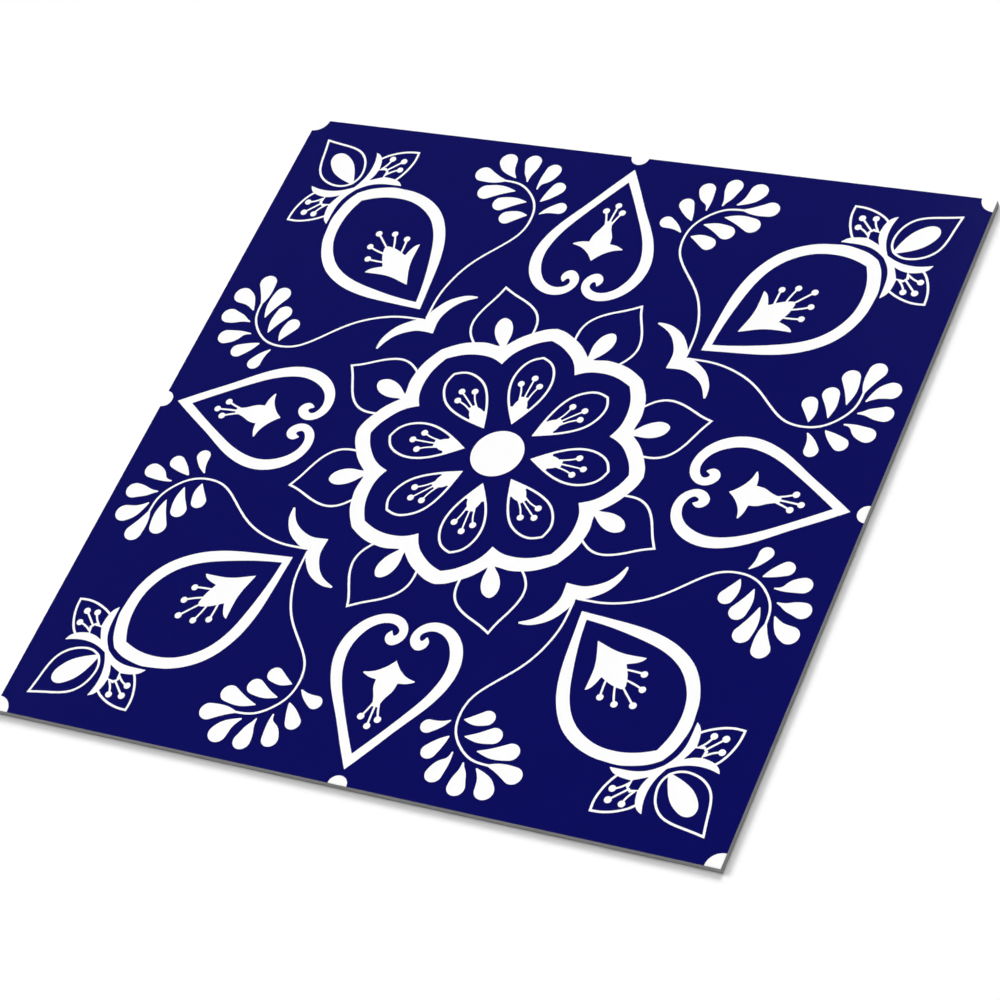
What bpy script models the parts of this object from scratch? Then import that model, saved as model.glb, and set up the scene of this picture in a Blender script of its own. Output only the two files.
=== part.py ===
"""Vinyl floor tile: one square sheet of printed vinyl, die-cut and lying flat with its face up.

Metres, +Z up. The origin is the centre of the underside, so the tile rests on Z = 0 and its
printed face looks along +Z. X and Y run square to two neighbouring edges.
"""

import bmesh
import bpy

# Driving dimensions
TILE_SIDE = 0.3048  # 12 in, the same along X and Y
TILE_THICKNESS = 0.0032  # 1/8 in nominal
EDGE_EASE = 0.00025  # radius of the softened arris round the printed face

# Facets along the quarter round of the eased arris
EASE_SEGMENTS = 4

# Printed vinyl under a satin wear layer, as linear colour
PRINT_BLUE = (0.0040, 0.0040, 0.0976, 1.0)
SATIN_ROUGHNESS = 0.35


def clear_scene():
    for obj in list(bpy.data.objects):
        bpy.data.objects.remove(obj, do_unlink=True)


def new_collection(name):
    collection = bpy.data.collections.new(name)
    bpy.context.scene.collection.children.link(collection)
    return collection


def printed_vinyl():
    material = bpy.data.materials.new("printed_vinyl")
    material.use_nodes = True
    shader = material.node_tree.nodes["Principled BSDF"]
    shader.inputs["Base Color"].default_value = PRINT_BLUE
    shader.inputs["Roughness"].default_value = SATIN_ROUGHNESS
    shader.inputs["Metallic"].default_value = 0.0
    return material


def cut_sheet(name):
    """The blank as the die leaves it: a square sheet standing on Z = 0, as a mesh."""
    blank = bmesh.new()
    bmesh.ops.create_cube(blank, size=1.0)
    bmesh.ops.scale(blank, vec=(TILE_SIDE, TILE_SIDE, TILE_THICKNESS), verts=blank.verts)
    bmesh.ops.translate(blank, vec=(0.0, 0.0, TILE_THICKNESS / 2), verts=blank.verts)
    mark_face_arris(blank)
    mesh = bpy.data.meshes.new(name)
    blank.to_mesh(mesh)
    blank.free()
    return mesh


def mark_face_arris(blank):
    """Weights the four edges round the printed face, so that only they are eased."""
    weight = blank.edges.layers.float.new("bevel_weight_edge")
    for edge in blank.edges:
        if all(vert.co.z > TILE_THICKNESS / 2 for vert in edge.verts):
            edge[weight] = 1.0


def ease_face_arris(tile):
    """Rounds the marked edges. The cut corners between them stay sharp in plan, as mitres."""
    ease = tile.modifiers.new("eased arris", "BEVEL")
    ease.limit_method = "WEIGHT"
    ease.width = EDGE_EASE
    ease.segments = EASE_SEGMENTS


def make_tile(collection):
    tile = bpy.data.objects.new("vinyl_tile", cut_sheet("vinyl_tile"))
    collection.objects.link(tile)
    tile.data.materials.append(printed_vinyl())
    ease_face_arris(tile)
    return tile


clear_scene()
make_tile(new_collection("vinyl_floor_tile"))
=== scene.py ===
"""Dresses the vinyl floor tile: its printed face, cut edge and backing, the floor, light and camera.

Metres in the frame of the CAD: +Z out of the printed face, the origin under the tile's centre.
The print is drawn in millimetres from the tile's centre, most of it as motifs on the +Y axis,
which are then turned and mirrored into place. Its white parts are flush inlays in the deep
blue sheet.
"""

import math

import bpy
import numpy
from mathutils import Matrix, Vector
from mathutils.geometry import delaunay_2d_cdt


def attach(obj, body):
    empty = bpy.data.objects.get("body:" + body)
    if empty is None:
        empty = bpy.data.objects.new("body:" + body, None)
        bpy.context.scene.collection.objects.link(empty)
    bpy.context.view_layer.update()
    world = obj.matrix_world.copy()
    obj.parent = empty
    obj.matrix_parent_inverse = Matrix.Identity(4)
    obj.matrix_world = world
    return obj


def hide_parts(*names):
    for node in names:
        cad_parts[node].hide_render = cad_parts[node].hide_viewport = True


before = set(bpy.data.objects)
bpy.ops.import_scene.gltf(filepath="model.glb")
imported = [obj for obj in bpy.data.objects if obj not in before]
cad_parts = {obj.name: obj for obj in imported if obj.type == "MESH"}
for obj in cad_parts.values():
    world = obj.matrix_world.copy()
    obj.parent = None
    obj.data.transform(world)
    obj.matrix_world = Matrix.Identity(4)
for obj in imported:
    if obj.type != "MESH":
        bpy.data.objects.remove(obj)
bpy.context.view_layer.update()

MM = 0.001

# Sheet, in millimetres
SIDE = 304.8
THICKNESS = 3.2
ARRIS = 0.25  # radius of the eased edge round the face
ARRIS_STEPS = 6
HALF_SIDE = SIDE / 2
HALF_FACE = HALF_SIDE - ARRIS  # the flat face ends where the arris begins
INK_DEPTH = 0.1  # thickness of the white inlays
FILM_DEPTH = 0.4  # how deep the clear layer and the print show on a cut side
MESH_GRAIN = 1e-5  # points closer than this are one point
BORDER_GRAIN = 1e-3  # points closer than this to the face's border lie on it
WHOLE_HULL = 0  # asks the triangulation for triangles all over the hull of its points

# Line work of the print, in millimetres
CHORD_ERROR = 0.015  # how far a chord may stray from its curve
INK_SPREAD = 0.26  # how far the blue ink spreads over the drawn edges of the white
SOFT_CORNER = 0.35  # how far from a corner its rounding begins
CRISP_CORNER = 0.1  # the same on a part that is small all over
SOFT_SHARE = 0.4  # no rounding takes more than this share of a side at either end
ROUNDING = (0.25, 0.5, 0.75)  # where the points of a rounded corner lie along its curve
STEEPEST_FLARE = 0.95  # how fast a brush's radius may grow along its trail
WAIST_SHARE = 0.3  # how much of its lean a leaning stamen has at its middle point

# Widths of lines as drawn
PETAL_LINE = 1.5
LEAF_LINE = 1.48
STEM_LINE = 1.45
STAMEN_LINE = 1.2
SEED_STAMEN_LINE = 1.35

# Radii of dots as drawn
CENTRE_DISC = 11.12
EDGE_DOT = 4.15
CORNER_DOT = 6.5
SMALL_HEAD = 1.65  # of most stamens
LARGE_HEAD = 1.7

EIGHTH = 45.0
QUARTER = 90.0


# Curves: a run is a list of knots, a path a list of runs that meet in corners

def smooth(knots):
    """A natural cubic spline through the knots, as points on it joined by short chords."""
    knots = numpy.array(knots, dtype=float)
    if len(knots) == 2:
        return knots
    gaps = numpy.linalg.norm(numpy.diff(knots[:, :2], axis=0), axis=1)
    bends = spline_bends(knots, gaps)
    points = [knots[0]]
    for i, gap in enumerate(gaps):
        sharpest = max(numpy.linalg.norm(bends[i][:2]), numpy.linalg.norm(bends[i + 1][:2]))
        chords = math.ceil(gap * math.sqrt(sharpest / (8 * CHORD_ERROR))) or 1
        for step in range(1, chords + 1):
            t = gap * step / chords
            rest = gap - t
            points.append(
                (bends[i] * rest ** 3 + bends[i + 1] * t ** 3) / (6 * gap)
                + (knots[i] / gap - bends[i] * gap / 6) * rest
                + (knots[i + 1] / gap - bends[i + 1] * gap / 6) * t
            )
    return numpy.array(points)


def spline_bends(knots, gaps):
    """Second derivatives of the spline at its knots, nought at both ends."""
    count = len(knots)
    system = numpy.eye(count)
    wanted = numpy.zeros_like(knots)
    for i in range(1, count - 1):
        before, after = gaps[i - 1], gaps[i]
        system[i, i - 1:i + 2] = before, 2 * (before + after), after
        slope_after = (knots[i + 1] - knots[i]) / after
        slope_before = (knots[i] - knots[i - 1]) / before
        wanted[i] = 6 * (slope_after - slope_before)
    return numpy.linalg.solve(system, wanted)


def smoothed(path):
    return [smooth(run) for run in path]


def over(knots):
    """The knots and their mirror image in one run that passes smoothly over the Y axis."""
    return list(knots) + [(-x, y) for x, y in reversed(knots) if x != 0]


def both_sides(*runs):
    """A path from the runs right of the Y axis, followed by their mirror image."""
    return list(runs) + [[(-x, y) for x, y in reversed(run)] for run in reversed(runs)]


def clockwise_area(ring):
    """The area inside a ring of points, below nought where it runs counterclockwise."""
    following = numpy.roll(ring, -1, axis=0)
    return numpy.sum(following[:, 0] * ring[:, 1] - ring[:, 0] * following[:, 1]) / 2


def mitres(before, after):
    """Steps to the left of a line's points onto its mitred parallel at a distance of one, from
    the directions of the line before and after each point."""
    left_before = numpy.stack([-before[:, 1], before[:, 0]], axis=1)
    left = numpy.stack([-after[:, 1], after[:, 0]], axis=1)
    return (left + left_before) / (1 + numpy.sum(left * left_before, axis=1))[:, None]


def grown(lines, distance):
    """Closed polylines moved outward by a distance, with mitred corners."""
    ring = numpy.concatenate([line[:-1] for line in lines])
    distance = math.copysign(distance, distance * clockwise_area(ring))
    ahead = numpy.roll(ring, -1, axis=0) - ring
    ahead /= numpy.linalg.norm(ahead, axis=1)[:, None]
    ring = ring + mitres(numpy.roll(ahead, 1, axis=0), ahead) * distance
    ring = numpy.vstack([ring, ring[:1]])
    moved, start = [], 0
    for line in lines:
        moved.append(ring[start:start + len(line)])
        start += len(line) - 1
    return moved


def trimmed(line, reach):
    """The polyline without the stretch of that length at each end."""
    for _ in range(2):
        left = reach
        points = list(line)
        while True:
            step = numpy.linalg.norm(points[1] - points[0])
            if step > left:
                points[0] = points[0] + (points[1] - points[0]) * (left / step)
                break
            left -= step
            points.pop(0)
        line = points[::-1]
    return line


def closed(lines, soft=SOFT_CORNER):
    """One closed outline from polylines that meet in corners, with each corner rounded."""
    sides = []
    for line in lines:
        length = numpy.sum(numpy.linalg.norm(numpy.diff(line, axis=0), axis=1))
        sides.append(trimmed(line, min(soft, SOFT_SHARE * length)))
    outline = []
    for i, side in enumerate(sides):
        start, corner, landing = side[-1], lines[i][-1], sides[(i + 1) % len(sides)][0]
        outline += side
        for t in ROUNDING:
            outline.append(start * (1 - t) ** 2 + corner * 2 * t * (1 - t) + landing * t ** 2)
    return numpy.array(outline)


# Shapes: outlines as printed, from paths and sizes as drawn

def shape(path, soft=SOFT_CORNER):
    """A white shape whose drawn outline is the path, less the spread of the ink round it."""
    return closed(grown(smoothed(path), -INK_SPREAD), soft)


def hole(path):
    """A blue shape whose drawn outline is the path, with the spread of its ink."""
    return closed(grown(smoothed(path), INK_SPREAD))


def band(path, width):
    """A line of even width along an open path, with mitred corners and square ends."""
    line = numpy.vstack([run[:-1] for run in smoothed(path)] + [[path[-1][-1]]])
    step = numpy.diff(line, axis=0)
    step /= numpy.linalg.norm(step, axis=1)[:, None]
    aside = mitres(numpy.vstack([step[:1], step]), numpy.vstack([step, step[-1:]]))
    aside *= width / 2 - INK_SPREAD
    return numpy.vstack([line + aside, (line - aside)[::-1]])


def arc(centre, radius, start, sweep):
    """Points of an arc, angles in radians."""
    step = 2 * math.acos(1 - min(CHORD_ERROR / radius, 0.5))
    count = max(3, math.ceil(abs(sweep) / step))
    angles = start + sweep * numpy.arange(count + 1) / count
    return numpy.array(centre) + radius * numpy.stack([numpy.cos(angles), numpy.sin(angles)], axis=1)


def disc(x, y, radius):
    return arc((x, y), radius - INK_SPREAD, 0.0, 2 * math.pi)[:-1]


def brush(*stations):
    """The trail of a round brush through (x, y, radius) stations: a drop, a leaf or a stem."""
    trail = smooth(stations)
    trail[:, 2] -= INK_SPREAD
    step = numpy.gradient(trail, axis=0)
    pace = numpy.linalg.norm(step[:, :2], axis=1)
    heading = numpy.arctan2(step[:, 1], step[:, 0])
    flare = numpy.arcsin(numpy.clip(step[:, 2] / pace, -STEEPEST_FLARE, STEEPEST_FLARE))
    sides = []
    for turn in (1, -1):
        angle = heading + turn * (math.pi / 2 + flare)
        offset = numpy.stack([numpy.cos(angle), numpy.sin(angle)], axis=1) * trail[:, 2:]
        sides.append(trail[:, :2] + offset)
    nose_half = math.pi / 2 + flare[-1]
    tail_half = math.pi / 2 - flare[0]
    nose = arc(trail[-1][:2], trail[-1][2], heading[-1] - nose_half, 2 * nose_half)[1:-1]
    tail = arc(trail[0][:2], trail[0][2], heading[0] + math.pi - tail_half, 2 * tail_half)[1:-1]
    return numpy.vstack([sides[1], nose, sides[0][::-1], tail])


def stem(width, points):
    """A line of even width through the points, with round ends."""
    return brush(*[(x, y, width / 2) for x, y in points])


# Layers: each is a tone, white or not, with an outline, and covers the layers before it

def white(outline):
    return True, outline


def blue(outline):
    return False, outline


def turned(layers, degrees):
    """The layers turned clockwise about the tile's centre."""
    c, s = math.cos(math.radians(degrees)), math.sin(math.radians(degrees))
    clockwise = numpy.array([[c, -s], [s, c]])
    return [(tone, outline @ clockwise) for tone, outline in layers]


def mirrored(layers):
    """The layers mirrored in the Y axis."""
    return [(tone, outline * (-1, 1)) for tone, outline in layers]


def swapped(layers):
    """The layers mirrored in the diagonal between +X and +Y."""
    return [(tone, outline[:, ::-1]) for tone, outline in layers]


def pair(layers):
    return layers + mirrored(layers)


def rim(path, width):
    """A line of even width all along a closed path, with the blue inside it."""
    lines = smoothed(path)
    half = width / 2 - INK_SPREAD
    return [white(closed(grown(lines, half))), blue(closed(grown(lines, -half)))]


def stamen(width, points, head, radius=SMALL_HEAD):
    """A stem through the points with a dot for its head."""
    return [white(stem(width, points)), white(disc(*head, radius))]


def leaning_stamen(width, lean, foot, waist, head):
    """A stamen that rises from the Y axis and bends aside. Its three points are given by Y."""
    points = [(0, foot), (lean * WAIST_SHARE, waist), (lean, head)]
    return stamen(width, points, (lean, head))


# Rosette round the centre

def ring_outline(spread, *runs):
    """An outline with the tile's symmetry, from runs between the +Y axis and the diagonal."""
    eighth = list(runs)
    quarter = eighth + [[(y, x) for x, y in reversed(run)] for run in reversed(eighth)]
    lines = smoothed(quarter)
    whole = []
    for _ in range(4):
        whole += lines
        lines = [numpy.stack([line[:, 1], -line[:, 0]], axis=1) for line in lines]
    return closed(grown(whole, spread))


def scalloped_ring():
    outer = ring_outline(
        -INK_SPREAD,
        [(0, 62.4), (4.2, 61.4), (8.2, 59.35), (12.5, 56.6), (15.2, 54.2), (18.6, 50.2)],
        [(18.6, 50.2), (20.9, 50.15), (26.5, 50.8), (30.8, 50.35), (35.1, 49.35), (39.6, 47.3),
         (44.3, 44.3)],
    )
    inner = ring_outline(
        INK_SPREAD,
        [(0, 55.8), (4.6, 54.0), (8.25, 51.6), (11.85, 48.45), (14.35, 44.7), (15.8, 41.1)],
        [(15.8, 41.1), (20.4, 43.3), (25, 44.05), (29.25, 43.9), (34.5, 42.65), (40, 40)],
    )
    return [white(outer), blue(inner)]


def petal_bud():
    """The solid foot of a petal, as wide there as the petal itself."""
    return white(shape(both_sides(
        [(0, 15.1), (4.5, 22.5)],
        [(4.5, 22.5), (3.2, 22.9)],
        [(3.2, 22.9), (2.75, 24.8), (2.0, 26.4), (1.9, 28.0)],
        [(1.9, 28.0), (0, 28.0)],
    ), CRISP_CORNER))


def petal(path, side_stem, lean):
    """A petal with a bud and three stamens in it. The middle one leans aside."""
    side = stamen(STAMEN_LINE, side_stem, side_stem[-1])
    middle = leaning_stamen(STAMEN_LINE, lean, foot=26.6, waist=31, head=37.2)
    return rim(path, PETAL_LINE) + [petal_bud()] + pair(side) + middle


def petal_on_axis(lean):
    path = both_sides(
        [(0, 47.4), (4.15, 45.4), (7.25, 40.95), (8.35, 35), (7.35, 28.9), (4.6, 22.6), (0, 15.1)])
    return petal(path, [(1.7, 26.3), (2.48, 30.0), (4.0, 33.7)], lean)


def petal_on_diagonal(lean):
    """A slightly slimmer petal, drawn on the +Y axis too."""
    path = both_sides(
        [(0, 47.4), (4.15, 45.3), (7.15, 40.85), (8.25, 35), (7.0, 29), (4.25, 22.8), (0, 15.6)])
    return petal(path, [(1.5, 26.3), (2.15, 30.0), (3.8, 34.0)], lean)


def sepal():
    """A pointed hoop round a drop, both growing out of the ring."""
    hoop = band([
        [(-13.55, 57.0), (-15.3, 61.8), (-15.45, 65.9), (-13.95, 70.2), (-9.75, 75.7), (-5.5, 80.15),
         (-2.3, 84.1)],
        [(-2.3, 84.1), (0.15, 81.15), (5.0, 76.55), (9.45, 71.65), (11.65, 67.2), (11.9, 63.1),
         (10.1, 57.0)],
    ], LEAF_LINE)
    drop = shape([
        [(0.0, 51.0), (0.15, 54.2), (1.2, 56.9), (2.2, 62.5), (0.8, 66.75), (-1.85, 68.35),
         (-4.3, 66.9), (-5.75, 62.6), (-4.55, 56.9), (-3.4, 54.3), (-3.2, 51.0)],
        [(-3.2, 51.0), (0.0, 51.0)],
    ])
    return [white(hoop), white(drop)]


# Sideways lean of the middle stamens, clockwise from +Y, of the petals on the axes and between them
AXIS_LEANS = (0.6, 0.7, -0.6, 0.1)
DIAGONAL_LEANS = (0.9, -0.7, 0.0, -0.7)


def rosette():
    layers = scalloped_ring() + [white(disc(0, 0, CENTRE_DISC))]
    for number in range(4):
        angle = number * QUARTER
        layers += turned(petal_on_axis(AXIS_LEANS[number]), angle)
        layers += turned(petal_on_diagonal(DIAGONAL_LEANS[number]), angle + EIGHTH)
    for number in range(4):
        layers += turned(sepal(), EIGHTH / 2 + number * QUARTER)
        layers += turned(mirrored(sepal()), -EIGHTH / 2 + number * QUARTER)
    return layers


# Hearts on the axes

def heart_scroll():
    """The heart's outline: out from its point, round its lobe and scroll, and back inside."""
    return white(shape(both_sides(
        [(0, 146.3), (7.35, 135), (13.6, 125), (20.2, 115), (24.75, 105), (26.0, 97.2), (24.75, 89.8),
         (20, 82.3), (15, 79.0), (9.9, 77.95), (5.05, 79.1), (1.9, 82), (0.7, 86), (2.4, 90.1),
         (5.85, 91.75), (8.7, 90.1), (9.35, 87.4), (7.4, 84.7)],
        [(7.4, 84.7), (6.7, 86.0), (5.9, 86.95), (4.8, 85.7), (5.95, 83.6), (9.5, 82.5), (15, 84.6),
         (18.3, 88.8), (20.5, 97.2), (19.85, 102.8), (17.2, 110.45), (12.55, 118.9), (4.9, 131.1),
         (0, 138.5)],
    )))


def heart_tulip():
    return white(shape(both_sides(
        [(0, 118.4), (1.4, 118.4)],
        [(1.4, 118.4), (2.95, 113.3), (4.2, 110.8), (4.8, 107.0)],
        [(4.8, 107.0), (8, 106.55), (11.4, 105.0)],
        [(11.4, 105.0), (10.9, 104.25)],
        [(10.9, 104.25), (7.5, 103.45), (5, 102.1), (2.2, 99.7), (0, 96.85)],
    )))


def heart(lean):
    """An open heart, point outward, round a tulip with three stamens. The middle one leans aside."""
    side = stamen(
        SEED_STAMEN_LINE, [(0.95, 115.6), (1.95, 119), (3.4, 122.8)], (3.55, 123.1), LARGE_HEAD)
    middle = leaning_stamen(SEED_STAMEN_LINE, lean, foot=116, waist=121, head=126.5)
    return [heart_scroll(), heart_tulip()] + pair(side) + middle


# Sideways lean of the middle stamens, clockwise from +Y
HEART_LEANS = (0.6, 0.6, -0.6, -0.6)


# Pomegranates on the diagonals, drawn on the +Y axis

def pomegranate_rind():
    outer = both_sides(
        [(0, 164.2), (5, 163.0), (10, 160.45), (14.85, 157.0), (17.95, 153.5), (20.85, 149.9),
         (23.65, 145), (25.8, 139), (26.65, 132), (26.1, 126.7), (22.95, 117.1), (16.5, 106.7),
         (10.2, 99.05), (0, 87.2)])
    inner = both_sides(
        [(0, 158.6), (5, 156.5), (10, 153.35), (15.1, 148.4), (17.65, 144.75), (20.15, 138.4),
         (21.0, 131.6), (18.75, 121.4), (12.75, 110.3), (3.75, 97.2), (0, 92.6)])
    return [white(shape(outer)), blue(hole(inner))]


def pomegranate_crown():
    """The seed case inside the rind, with a wing on each side and five stamens."""
    case = both_sides(
        [(0, 128.2), (1.0, 128.0)],
        [(1.0, 128.0), (2.95, 125.2), (4.2, 122.4), (5.25, 119.1)],
        [(5.25, 119.1), (8.5, 120.6), (11.3, 121.1), (13.1, 120.6)],
        [(13.1, 120.6), (9.1, 116.75), (5.95, 113.35), (3.35, 109.35), (1.4, 105.45), (0, 102.75)],
    )
    lower = stamen(SEED_STAMEN_LINE, [(3.8, 120.6), (6.1, 123.0), (8.9, 126.25)], (8.95, 126.55))
    upper = stamen(SEED_STAMEN_LINE, [(2.0, 124.7), (3.85, 127.9), (5.7, 132.0)], (5.7, 132.25))
    middle = stamen(SEED_STAMEN_LINE, [(0, 127), (0, 136.7)], (0, 136.65), LARGE_HEAD)
    return [white(shape(case))] + pair(lower + upper) + middle


def calyx_arms():
    return white(shape(both_sides(
        [(0, 168.2), (5, 170.0), (10, 173.45), (12.9, 176.75), (15.3, 180.9)],
        [(15.3, 180.9), (16.25, 178.3), (15.8, 175), (13.2, 170.9)],
        [(13.2, 170.9), (15.9, 169.9)],
        [(15.9, 169.9), (15.9, 166.6)],
        [(15.9, 166.6), (13.4, 165.3)],
        [(13.4, 165.3), (16.2, 161.9), (17.65, 158.7), (17.6, 155.4)],
        [(17.6, 155.4), (14.1, 158.85), (10, 162.5), (5, 165.05), (0, 165.95)],
    )))


def calyx_leaf():
    """The leaf right of the calyx, the blue eye at its foot and the three stamens in it."""
    leaf = band([
        [(13.5, 175.6), (16.5, 175.8), (20, 175.2), (25, 173.1), (28, 171.1), (30.5, 168.8)],
        [(30.5, 168.8), (28, 166.05), (25, 163.85), (20, 161.55), (17.5, 160.85), (15.4, 160.5)],
    ], LEAF_LINE)
    eye = hole([
        [(7.6, 167.6), (10, 168.6), (12.4, 170.2)],
        [(12.4, 170.2), (15.0, 168.2)],
        [(15.0, 168.2), (12.3, 165.9)],
        [(12.3, 165.9), (10, 166.8), (7.6, 167.6)],
    ])
    outer = stamen(SEED_STAMEN_LINE, [(13.8, 170.4), (16.6, 170.95), (19.75, 172.4)], (19.75, 172.55))
    middle = stamen(SEED_STAMEN_LINE, [(15, 168.3), (23.3, 168.25)], (23.3, 168.25), LARGE_HEAD)
    inner = stamen(SEED_STAMEN_LINE, [(13.8, 166.1), (17, 165.95), (20.1, 165.0)], (20.1, 164.8))
    return [white(leaf), blue(eye)] + outer + middle + inner


def pomegranate_bud():
    """The leaf in the tile's corner with a seed in it."""
    path = both_sides(
        [(0, 200.55), (3.85, 195), (7.4, 190), (9.6, 185), (9.8, 182), (9.3, 179.2), (8.15, 176.5),
         (6.7, 174.3), (5.1, 172.65), (3.05, 171.4), (0, 170.6)])
    seed = shape([
        over([(0.9, 170.6), (1.95, 172.7), (3.95, 177.5), (4.85, 182), (4.6, 185.3), (2.65, 189.8),
              (0, 190.95)]),
        [(-0.9, 170.6), (0.9, 170.6)],
    ])
    return rim(path, LEAF_LINE) + [white(seed)]


def pomegranate():
    fruit = pomegranate_rind() + pomegranate_crown()
    calyx = [calyx_arms()] + pair(calyx_leaf())
    return fruit + calyx + pomegranate_bud()


# Branches: a chevron on the diagonal and a leafy spray on each side of it

def chevron():
    """Two wings that meet in a point towards the centre, drawn on the +Y axis."""
    return [white(shape(both_sides(
        [(0, 81.6), (2.0, 83.1)],
        [(2.0, 83.1), (4.2, 83.95)],
        [(4.2, 83.95), (6.7, 84.5), (11, 85.0), (15, 84.4), (20, 82.2), (23.1, 79.3)],
        [(23.1, 79.3), (22.5, 78.3)],
        [(22.5, 78.3), (20, 79.25), (14.5, 80.35), (10, 79.65), (7.0, 78.55), (5, 77.4), (2.55, 75.0),
         (0, 72.0)],
    )))]


def spray_stem():
    """Winds outward from the chevron, between the heart and the diagonal, and curls round."""
    return stem(STEM_LINE, [
        (57.15, 58.4), (57.15, 61.0), (57.15, 64.3), (56.65, 70.7), (55.4, 76.1), (53.4, 81.6),
        (50.8, 86.7), (48.1, 90.6), (44.9, 94.4), (39.3, 100.7), (35.3, 106.9), (34.0, 113.6),
        (35.3, 121.0), (40.1, 127.4), (46.5, 131.3), (53.3, 132.1)])


def spray_leaves():
    """Nine drops from tip to round end, clockwise round the outside of the curl and back inside."""
    return [
        brush((31.4, 117.4, 0.55), (28.65, 119.5, 1.58), (23.85, 121.45, 3.15)),
        brush((33.6, 123.9, 0.6), (31.35, 127.2, 2.22), (28.7, 131.45, 3.38)),
        brush((37.8, 129.9, 0.6), (37.7, 132.0, 0.95), (37.05, 134.0, 1.7), (35.75, 136.25, 2.87),
              (34.5, 140.1, 3.66)),
        brush((43.7, 133.2, 0.6), (44.1, 135.0, 1.05), (44.65, 137.5, 2.05), (44.75, 140.5, 3.1),
              (45.1, 143.4, 3.8)),
        brush((49.7, 134.4, 0.6), (53.4, 137.5, 2.27), (55.3, 140.2, 3.52), (56.15, 142.4, 4.08)),
        brush((53.2, 132.1, 0.65), (57.4, 132.3, 2.1), (64.2, 134.1, 3.92)),
        brush((47.0, 127.4, 0.5), (53.4, 126.95, 2.62), (59.35, 125.0, 3.87)),
        brush((39.8, 122.5, 0.5), (45.3, 121.85, 2.42), (50.4, 119.95, 3.68)),
        brush((36.7, 115.8, 0.5), (40.9, 115.15, 2.4), (44.95, 113.35, 3.42)),
    ]


def branch():
    spray = [white(outline) for outline in [spray_stem()] + spray_leaves()]
    return turned(chevron(), EIGHTH) + spray + swapped(spray)


# Lay-out of the whole face

def lay_out():
    """Every white piece of the print by name, as its layers in place on the tile."""
    edge_dot = [white(disc(0, HALF_SIDE, EDGE_DOT))]
    corner_dot = [white(disc(HALF_SIDE, HALF_SIDE, CORNER_DOT))]
    pieces = {"rosette": rosette()}
    for number, lean in enumerate(HEART_LEANS, start=1):
        angle = (number - 1) * QUARTER
        pieces[f"heart_{number}"] = turned(heart(lean), angle)
        pieces[f"pomegranate_{number}"] = turned(pomegranate(), angle + EIGHTH)
        pieces[f"branch_{number}"] = turned(branch(), angle)
        pieces[f"edge_dot_{number}"] = turned(edge_dot, angle)
        pieces[f"corner_dot_{number}"] = turned(corner_dot, angle)
    return pieces


def counter_clockwise(outline):
    return outline if clockwise_area(outline) < 0 else outline[::-1]


def cut_face(pieces):
    """Cuts the flat face into triangles along all outlines. Gives its points, and each
    triangle with the name of the white piece that it belongs to, or None where it is blue.
    Outline 0 is the square of the face itself, and what lies outside it is dropped."""
    square = numpy.array([(-1, -1), (1, -1), (1, 1), (-1, 1)]) * HALF_FACE
    outlines, owners = [square], [None]
    for name, layers in pieces.items():
        for is_white, outline in layers:
            outlines.append(counter_clockwise(outline))
            owners.append(name if is_white else None)
    points, loops = [], []
    for outline in outlines:
        loops.append(list(range(len(points), len(points) + len(outline))))
        points += [Vector(point) for point in outline]
    verts, _, cells, _, _, covers = delaunay_2d_cdt(points, [], loops, WHOLE_HULL, MESH_GRAIN)
    triangles = [(tuple(cell), owners[max(cover)]) for cell, cover in zip(cells, covers) if 0 in cover]
    return [tuple(vert) for vert in verts], triangles


# Meshes, in millimetres until they are made into objects

def new_object(name, verts, faces, slots, materials):
    """An object of the faces and the points that they use, each face with its material's number."""
    used = sorted({index for face in faces for index in face})
    place = {index: i for i, index in enumerate(used)}
    mesh = bpy.data.meshes.new(name)
    mesh.from_pydata(
        [Vector(verts[index]) * MM for index in used], [], [[place[i] for i in face] for face in faces])
    for material in materials:
        mesh.materials.append(material)
    mesh.polygons.foreach_set("material_index", slots)
    mesh.update()
    obj = bpy.data.objects.new(name, mesh)
    bpy.context.scene.collection.objects.link(obj)
    return obj


def open_edges(cells):
    """Edges of the cells that no second cell shares, in the direction that their cell runs."""
    edges = {(cell[i], cell[(i + 1) % 3]) for cell in cells for i in range(3)}
    return [edge for edge in edges if edge[::-1] not in edges]


def two_levels(verts):
    """The points of the face at its own height, and once more at the foot of the white inlays."""
    return [(x, y, z) for z in (THICKNESS, THICKNESS - INK_DEPTH) for x, y in verts]


def make_inlay(name, verts, cells, material):
    """A white piece of the print: a thin closed plate, flush with the face."""
    count = len(verts)
    bottom = [tuple(i + count for i in reversed(cell)) for cell in cells]
    walls = [(b, a, a + count, b + count) for a, b in sorted(open_edges(cells))]
    faces = cells + bottom + walls
    return new_object(name, two_levels(verts), faces, [0] * len(faces), [material])


def pocketed_face(triangles, count):
    """Faces of the sheet's top, with a pocket for the white print where it isn't blue."""
    white_cells = [cell for cell, owner in triangles if owner]
    cells = [tuple(i + count for i in cell) if owner else cell for cell, owner in triangles]
    walls = [(a, b, b + count, a + count) for a, b in sorted(open_edges(white_cells))]
    return cells + walls


def on_border(coordinate):
    return abs(abs(coordinate) - HALF_FACE) < BORDER_GRAIN


def rim_rings(corners):
    """Rings of points down the eased arris and the cut side, below the face's own border."""
    rings = []
    for step in range(1, ARRIS_STEPS + 1):
        angle = math.radians(QUARTER) * step / ARRIS_STEPS
        out, z = ARRIS * math.sin(angle), THICKNESS - ARRIS * (1 - math.cos(angle))
        ring = []
        for x, y in corners:
            wide_x = x + math.copysign(out, x) if on_border(x) else x
            wide_y = y + math.copysign(out, y) if on_border(y) else y
            ring.append((wide_x, wide_y, z))
        rings.append(ring)
    rings.append([(x, y, 0.0) for x, y, _ in rings[-1]])
    return rings


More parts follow.
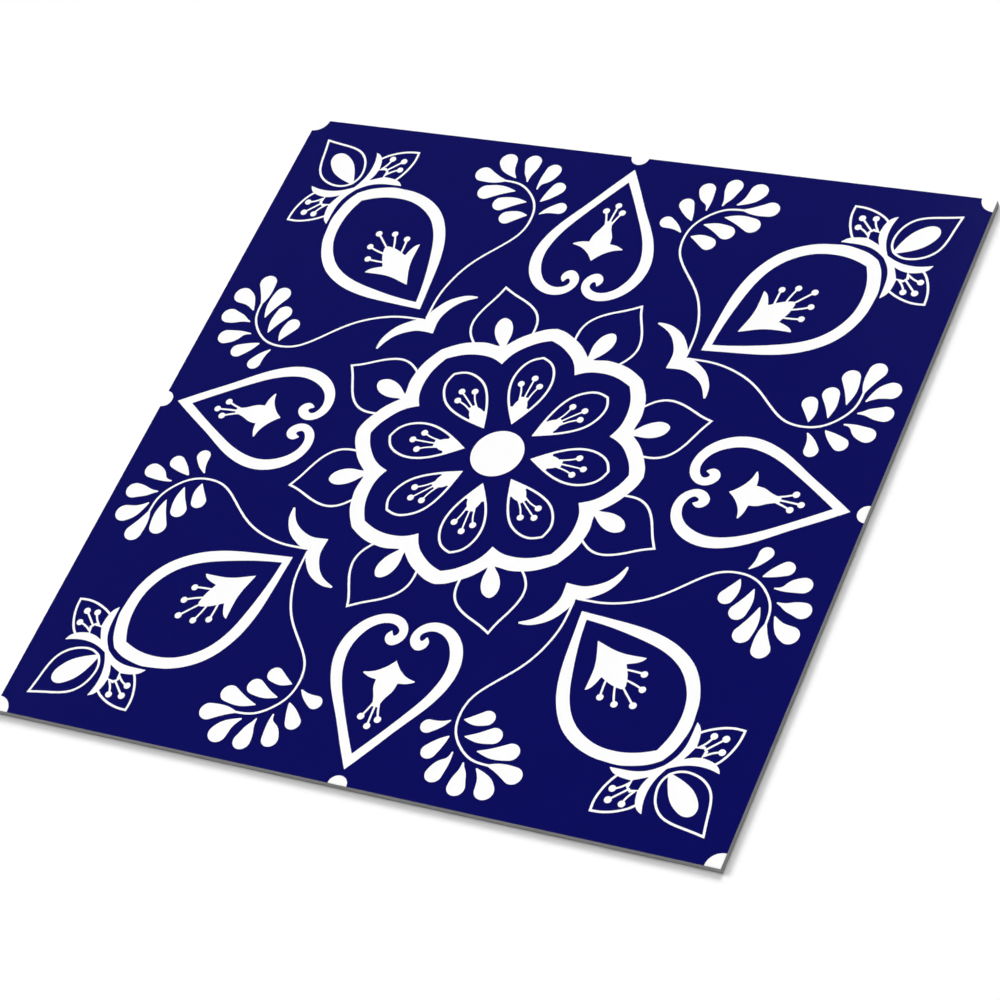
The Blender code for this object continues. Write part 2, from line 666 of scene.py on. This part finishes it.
# Material slots of the sheet
NAVY_SLOT, WHITE_SLOT, CORE_SLOT, BACKING_SLOT = range(4)


def make_sheet(verts, triangles, materials):
    """The blue sheet: its face with pockets for the white print, arris, cut sides and back."""
    levels = two_levels(verts)
    faces = pocketed_face(triangles, len(verts))
    slots = [NAVY_SLOT] * len(faces)
    starts = [a for a, _ in open_edges([cell for cell, _ in triangles])]
    white_rim = set(open_edges([cell for cell, owner in triangles if owner]))
    border = sorted(starts, key=lambda index: math.atan2(verts[index][1], verts[index][0]))
    rows = [border]
    for ring in rim_rings([verts[index] for index in border]):
        rows.append(range(len(levels), len(levels) + len(ring)))
        levels += ring
    middle = len(levels)
    levels.append((0.0, 0.0, 0.0))
    for i, start in enumerate(border):
        j = (i + 1) % len(border)
        edge_slot = WHITE_SLOT if (start, border[j]) in white_rim else NAVY_SLOT
        faces += [(upper[j], upper[i], lower[i], lower[j]) for upper, lower in zip(rows, rows[1:])]
        slots += [edge_slot] * ARRIS_STEPS + [CORE_SLOT]
        faces.append((rows[-1][j], rows[-1][i], middle))
        slots.append(BACKING_SLOT)
    sheet = new_object("printed_sheet", levels, faces, slots, materials)
    round_arris(sheet.data)
    return sheet


def round_arris(mesh):
    """Shades the arris as one round. The level and upright faces beside it stay flat."""
    upright, level = 0.01, 0.999
    for face in mesh.polygons:
        face.use_smooth = upright < abs(face.normal.z) < level


# Materials

NOISE_LOW, NOISE_HIGH = 0.3, 0.7  # most values of a noise texture lie between these


def new_material(name):
    material = bpy.data.materials.new(name)
    material.use_nodes = True
    return material, material.node_tree


def feed(tree, socket, value):
    """Links the socket to another node's output, or sets it where the value is a plain one."""
    if isinstance(value, bpy.types.NodeSocket):
        tree.links.new(value, socket)
    else:
        socket.default_value = value


def add_node(tree, kind, inputs):
    """A new node with its inputs fed, by their names or numbers."""
    node = tree.nodes.new(kind)
    for name, value in inputs.items():
        feed(tree, node.inputs[name], value)
    return node


def dress(tree, inputs):
    """Feeds the material's own shader."""
    for name, value in inputs.items():
        feed(tree, tree.nodes["Principled BSDF"].inputs[name], value)


def object_space(tree, stretch=(1.0, 1.0, 1.0)):
    """Coordinates in the tile's own metres, so that texture runs on from piece to piece."""
    coordinates = tree.nodes.new("ShaderNodeTexCoord").outputs["Object"]
    mapping = add_node(tree, "ShaderNodeMapping", {"Vector": coordinates, "Scale": stretch})
    return mapping.outputs["Vector"]


def noise(tree, space, scale, detail=2.0, roughness=0.5):
    return add_node(tree, "ShaderNodeTexNoise", {
        "Vector": space, "Scale": scale, "Detail": detail, "Roughness": roughness,
    }).outputs["Fac"]


def remap(tree, value, low=0.0, high=1.0, from_low=NOISE_LOW, from_high=NOISE_HIGH):
    return add_node(tree, "ShaderNodeMapRange", {
        "Value": value, "From Min": from_low, "From Max": from_high, "To Min": low, "To Max": high,
    }).outputs["Result"]


def mixed_colour(tree, factor, first, second):
    node = tree.nodes.new("ShaderNodeMix")
    node.data_type = "RGBA"
    feed(tree, node.inputs["Factor"], factor)
    feed(tree, node.inputs["A"], first)
    feed(tree, node.inputs["B"], second)
    return node.outputs["Result"]


def bumped(tree, height, distance, strength):
    return add_node(tree, "ShaderNodeBump", {
        "Height": height, "Distance": distance, "Strength": strength,
    })


def wear_layer_ink(name, darker, lighter):
    """Ink seen through the clear satin wear layer. The layer's fine emboss and slow changes
    of gloss run on over every colour of the print."""
    material, tree = new_material(name)
    space = object_space(tree)
    mottle = noise(tree, space, scale=55.0, detail=4.0)
    gloss = noise(tree, space, scale=18.0, detail=3.0)
    peel = bumped(tree, noise(tree, space, scale=420.0, detail=1.0), distance=0.00003, strength=0.15)
    grain = bumped(tree, noise(tree, space, scale=2600.0), distance=0.000006, strength=0.2)
    feed(tree, grain.inputs["Normal"], peel.outputs["Normal"])
    dress(tree, {
        "Base Color": mixed_colour(tree, remap(tree, mottle), darker, lighter),
        "Roughness": remap(tree, gloss, low=0.13, high=0.16),
        "Normal": grain.outputs["Normal"],
        "IOR": 1.45,
        "Specular IOR Level": 0.045,
    })
    return material


def cut_edge(name, darker, lighter, layer_tint):
    """The die-cut side: filled vinyl with fine grit, tinted by the clear layer at its top."""
    material, tree = new_material(name)
    squashed = object_space(tree, stretch=(1.0, 1.0, 4.0))
    upright = object_space(tree, stretch=(1.0, 1.0, 0.05))
    grit = noise(tree, squashed, scale=1800.0, detail=3.0, roughness=0.6)
    drag = noise(tree, upright, scale=1500.0)
    height = add_node(tree, "ShaderNodeSeparateXYZ", {"Vector": object_space(tree)}).outputs["Z"]
    film_foot = (THICKNESS - FILM_DEPTH) * MM
    film_full = (THICKNESS - FILM_DEPTH / 2) * MM
    film = remap(tree, height, from_low=film_foot, from_high=film_full)
    body = mixed_colour(tree, remap(tree, grit), darker, lighter)
    dress(tree, {
        "Base Color": mixed_colour(tree, film, body, layer_tint),
        "Roughness": 0.6,
        "Normal": bumped(tree, drag, distance=0.00004, strength=0.4).outputs["Normal"],
        "Specular IOR Level": 0.25,
    })
    return material


def backing(name, darker, lighter):
    """The underside: calendered filled vinyl with a fine even weave pressed into it."""
    material, tree = new_material(name)
    space = object_space(tree)
    mottle = noise(tree, space, scale=160.0, detail=5.0, roughness=0.65)
    press = add_node(tree, "ShaderNodeTexVoronoi", {
        "Vector": space, "Scale": 900.0, "Randomness": 0.35,
    })
    weave = bumped(tree, press.outputs["Distance"], distance=0.00005, strength=0.4)
    waves = bumped(tree, noise(tree, space, scale=90.0), distance=0.0001, strength=0.2)
    feed(tree, waves.inputs["Normal"], weave.outputs["Normal"])
    dress(tree, {
        "Base Color": mixed_colour(tree, remap(tree, mottle), darker, lighter),
        "Roughness": remap(tree, mottle, low=0.5, high=0.62),
        "Normal": waves.outputs["Normal"],
        "Specular IOR Level": 0.3,
    })
    return material


INK_BLUE = (0.0011, 0.0015, 0.1010, 1.0)
INK_BLUE_DARK = (0.0009, 0.0012, 0.0980, 1.0)
INK_WHITE = (0.975, 0.975, 0.974, 1.0)
INK_WHITE_DARK = (0.967, 0.967, 0.966, 1.0)
CORE_GREY = (0.30, 0.30, 0.30, 1.0)
CORE_GREY_DARK = (0.258, 0.258, 0.258, 1.0)
FILM_TINT = (0.26, 0.26, 0.36, 1.0)
BACKING_GREY = (0.50, 0.50, 0.49, 1.0)
BACKING_GREY_DARK = (0.42, 0.42, 0.415, 1.0)
PLAIN_WHITE = (1.0, 1.0, 1.0, 1.0)


# The tile

def make_tile():
    verts, triangles = cut_face(lay_out())
    navy = wear_layer_ink("printed_vinyl", INK_BLUE_DARK, INK_BLUE)
    white_ink = wear_layer_ink("white_print", INK_WHITE_DARK, INK_WHITE)
    core = cut_edge("filled_core", CORE_GREY_DARK, CORE_GREY, FILM_TINT)
    back = backing("backing", BACKING_GREY_DARK, BACKING_GREY)
    sheet = make_sheet(verts, triangles, [navy, white_ink, core, back])
    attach(sheet, "root")
    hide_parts("vinyl_tile")
    cells_of = {}
    for cell, owner in triangles:
        if owner:
            cells_of.setdefault(owner, []).append(cell)
    for owner, cells in cells_of.items():
        inlay = make_inlay("white_" + owner, verts, cells, white_ink)
        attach(inlay, "root")


# Floor, in metres

FLOOR_RADIUS = 4.5
COVE_RADIUS = 0.6
COVE_HEIGHT = 0.8
COVE_STEPS = 12
FLOOR_AROUND = 96  # points round each ring of the floor
SHADOW_REACH = 0.30  # this near the tile's centre the floor takes all shadow
SHADOW_END = 0.55  # and from here on none


def seen_directly(tree):
    """One for rays from the camera and for those that shiny and clear things send on."""
    path = tree.nodes.new("ShaderNodeLightPath")
    either = path.outputs["Is Camera Ray"]
    for kind in ("Is Glossy Ray", "Is Transmission Ray"):
        larger = add_node(tree, "ShaderNodeMath", {0: either, 1: path.outputs[kind]})
        larger.operation = "MAXIMUM"
        either = larger.outputs["Value"]
    return either


def floor_material():
    """White paper. Near the tile it takes shadow; farther off it shows plain white."""
    material, tree = new_material("white_floor")
    dress(tree, {"Base Color": PLAIN_WHITE, "Roughness": 0.9, "Specular IOR Level": 0.0})
    reach = add_node(tree, "ShaderNodeVectorMath", {0: object_space(tree)})
    reach.operation = "LENGTH"
    far = remap(tree, reach.outputs["Value"], from_low=SHADOW_REACH, from_high=SHADOW_END)
    factor = add_node(tree, "ShaderNodeMath", {0: far, 1: seen_directly(tree)})
    factor.operation = "MULTIPLY"
    paper = tree.nodes["Principled BSDF"].outputs["BSDF"]
    glow = add_node(tree, "ShaderNodeEmission", {"Strength": 1.0}).outputs["Emission"]
    blend = add_node(tree, "ShaderNodeMixShader", {"Fac": factor.outputs["Value"], 1: paper, 2: glow})
    feed(tree, tree.nodes["Material Output"].inputs["Surface"], blend.outputs["Shader"])
    return material


def floor_profile():
    """Radius and height along the floor's section, from its level part up the backdrop."""
    profile = [(FLOOR_RADIUS - COVE_RADIUS, 0.0)]
    for step in range(1, COVE_STEPS + 1):
        angle = math.radians(QUARTER) * step / COVE_STEPS
        radius = FLOOR_RADIUS - COVE_RADIUS * (1 - math.sin(angle))
        profile.append((radius, COVE_RADIUS * (1 - math.cos(angle))))
    profile.append((FLOOR_RADIUS, COVE_HEIGHT))
    return profile


def make_floor():
    """A round floor whose rim sweeps up into a backdrop."""
    profile = floor_profile()
    verts = [(0.0, 0.0, 0.0)]
    for radius, z in profile:
        for step in range(FLOOR_AROUND):
            angle = 2 * math.pi * step / FLOOR_AROUND
            verts.append((radius * math.cos(angle), radius * math.sin(angle), z))
    faces = [(0, 1 + i, 1 + (i + 1) % FLOOR_AROUND) for i in range(FLOOR_AROUND)]
    for row in range(len(profile) - 1):
        first, second = 1 + row * FLOOR_AROUND, 1 + (row + 1) * FLOOR_AROUND
        for i in range(FLOOR_AROUND):
            j = (i + 1) % FLOOR_AROUND
            faces.append((first + i, second + i, second + j, first + j))
    mesh = bpy.data.meshes.new("floor")
    mesh.from_pydata(verts, [], faces)
    mesh.materials.append(floor_material())
    for face in mesh.polygons:
        face.use_smooth = True
    floor = bpy.data.objects.new("floor", mesh)
    bpy.context.scene.collection.objects.link(floor)


# Light

ROOM_LIGHT = 0.098  # how brightly the white room lights things, where 1 is how it looks


def soft_lamp(name, azimuth, elevation, spread, share):
    """A far round softbox as many degrees across as its spread. Its share is how bright it
    alone would make a white floor, where 1 is white."""
    light = bpy.data.lights.new(name, "SUN")
    light.angle = math.radians(spread)
    light.energy = share * math.pi / math.sin(math.radians(elevation))
    lamp = bpy.data.objects.new(name, light)
    bpy.context.scene.collection.objects.link(lamp)
    az, el = math.radians(azimuth), math.radians(elevation)
    toward = Vector((math.cos(az) * math.cos(el), math.sin(az) * math.cos(el), math.sin(el)))
    lamp.rotation_euler = toward.to_track_quat("Z", "Y").to_euler()


def dim_white_room():
    world = bpy.data.worlds.new("studio")
    world.use_nodes = True
    tree = world.node_tree
    strength = remap(tree, seen_directly(tree), low=ROOM_LIGHT, from_low=0.0, from_high=1.0)
    room = tree.nodes["Background"]
    feed(tree, room.inputs["Color"], PLAIN_WHITE)
    feed(tree, room.inputs["Strength"], strength)
    bpy.context.scene.world = world


def light_scene():
    """Two broad keys behind the tile's left and far sides, a faint low one between them, and
    a dim white room."""
    soft_lamp("left_key", azimuth=172.5, elevation=47.0, spread=25.0, share=0.43)
    soft_lamp("back_key", azimuth=97.5, elevation=47.0, spread=25.0, share=0.43)
    soft_lamp("low_fill", azimuth=135.0, elevation=25.0, spread=14.0, share=0.035)
    dim_white_room()


# Camera, in degrees, metres and, for the lens and sensor, millimetres

CAMERA_AZIMUTH = 43.105  # from -Y towards +X
CAMERA_ELEVATION = 48.980
CAMERA_ROLL = -25.458
CAMERA_DISTANCE = 1.29007
CAMERA_LENS = 122.72
CAMERA_SENSOR = 36.0
LOOK_AT = Vector((0.010046, -0.020550, THICKNESS * MM))


def make_camera():
    az, el, roll = (math.radians(a) for a in (CAMERA_AZIMUTH, CAMERA_ELEVATION, CAMERA_ROLL))
    back = Vector((math.sin(az) * math.cos(el), -math.cos(az) * math.cos(el), math.sin(el)))
    level = Vector((0, 0, 1)).cross(back).normalized()
    upward = back.cross(level)
    right = level * math.cos(roll) + upward * math.sin(roll)
    up = upward * math.cos(roll) - level * math.sin(roll)
    camera = bpy.data.objects.new("camera", bpy.data.cameras.new("camera"))
    bpy.context.scene.collection.objects.link(camera)
    axes = Matrix((right, up, back)).transposed().to_4x4()
    camera.matrix_world = Matrix.Translation(LOOK_AT + back * CAMERA_DISTANCE) @ axes
    camera.data.lens = CAMERA_LENS
    camera.data.sensor_width = CAMERA_SENSOR
    camera.data.clip_start = 0.01
    camera.data.clip_end = 20.0
    bpy.context.scene.camera = camera


make_camera()
make_tile()
make_floor()
light_scene()
bpy.context.scene.view_settings.view_transform = "Standard"
